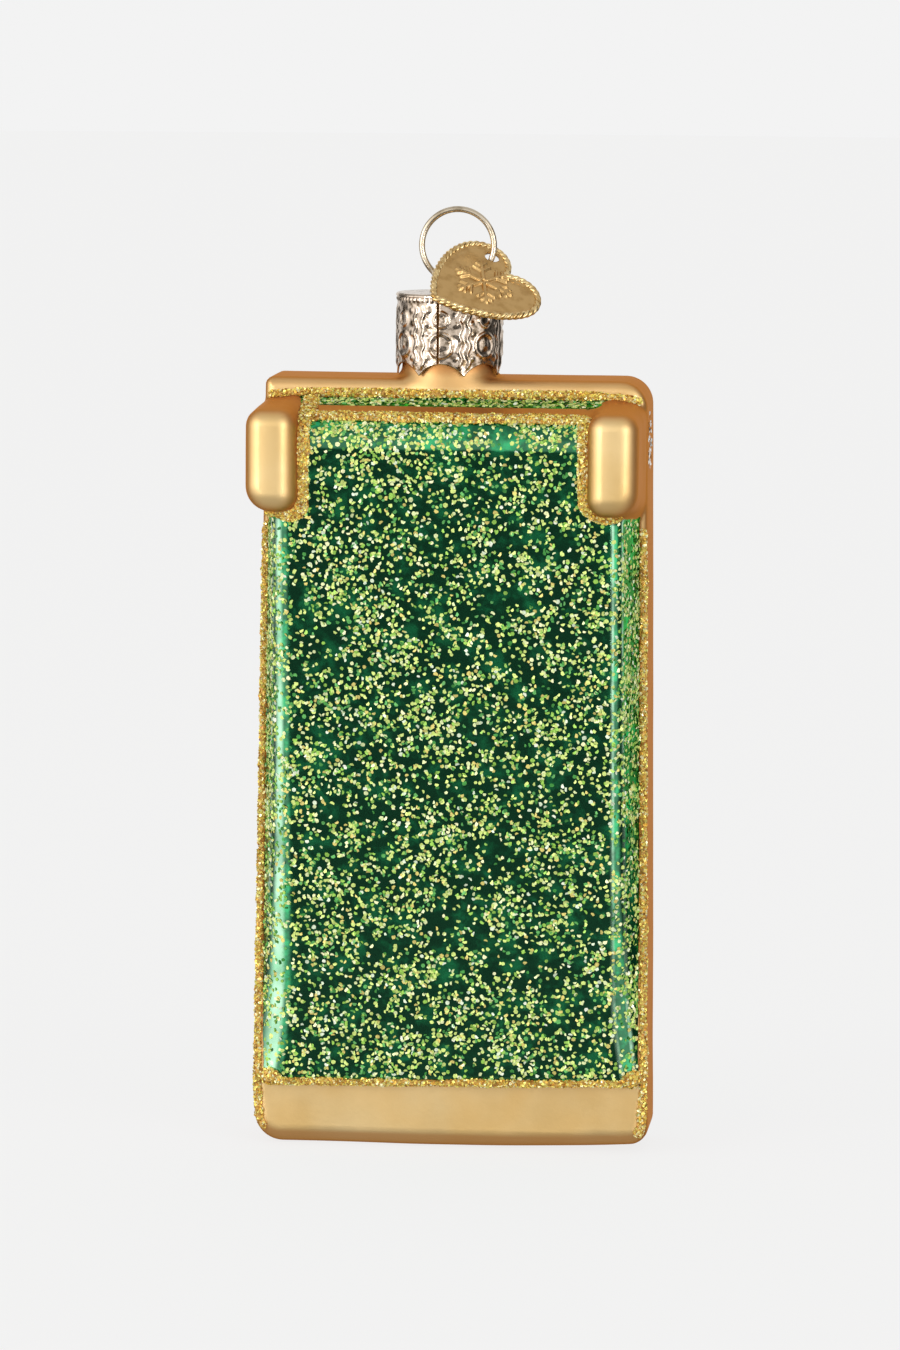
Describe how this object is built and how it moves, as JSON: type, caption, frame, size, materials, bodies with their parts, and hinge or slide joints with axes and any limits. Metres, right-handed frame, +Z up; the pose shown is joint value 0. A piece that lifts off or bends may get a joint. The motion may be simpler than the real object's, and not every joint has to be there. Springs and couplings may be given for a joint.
{
  "type": "cornhole board ornament",
  "caption": "Hanging tree ornament: a blown glass game board with stub legs and a box frame on its back, a scalloped crown cap, a wire loop and a heart tag.",
  "frame": {"origin": "middle of the flat base, halfway through the board's own thickness", "axes": "+Z up along the board to the wire loop, -Y out of the back where the legs are, +Y out of the playing deck, +X to the right when the back is seen"},
  "size_m": [0.0476, 0.0256, 0.1115],
  "materials": {
    "lacquered_glass": "satin gold and transparent green lacquer over silvered glass",
    "cap_metal": "champagne plate with fine stamped relief",
    "wire_metal": "bright plated wire",
    "tag_brass": "stamped, satin field and bright rope edge",
    "gold_glitter": "loose gold glitter set in glue"
  },
  "bodies": {
    "glass": {"glass_body": "lacquered_glass", "glitter_line_left": "gold_glitter", "glitter_line_right": "gold_glitter", "glitter_line_top": "gold_glitter", "glitter_line_strip": "gold_glitter", "glitter_line_rail": "gold_glitter", "glitter_line_left_leg": "gold_glitter", "glitter_line_right_leg": "gold_glitter"},
    "cap": {"cap_band": "cap_metal", "cap_top": "cap_metal"},
    "hanger": {"hanger_wire": "wire_metal"},
    "tag": {"heart_tag": "tag_brass"}
  },
  "joints": [
    {"name": "cap_lift", "type": "slide", "parent": "glass", "child": "cap", "axis": [0, 0, 1], "range_m": [0, 0.014]},
    {"name": "hanger_tilt", "type": "hinge", "parent": "cap", "child": "hanger", "pos_m": [-0.0012, -0.001, 0.10118], "axis": [-1, 0, 0], "range_deg": [0, 12]},
    {"name": "tag_swing", "type": "hinge", "parent": "hanger", "child": "tag", "pos_m": [0.0037, -0.001, 0.1054], "axis": [-1, 0, 0], "range_deg": [0, 60]}
  ]
}
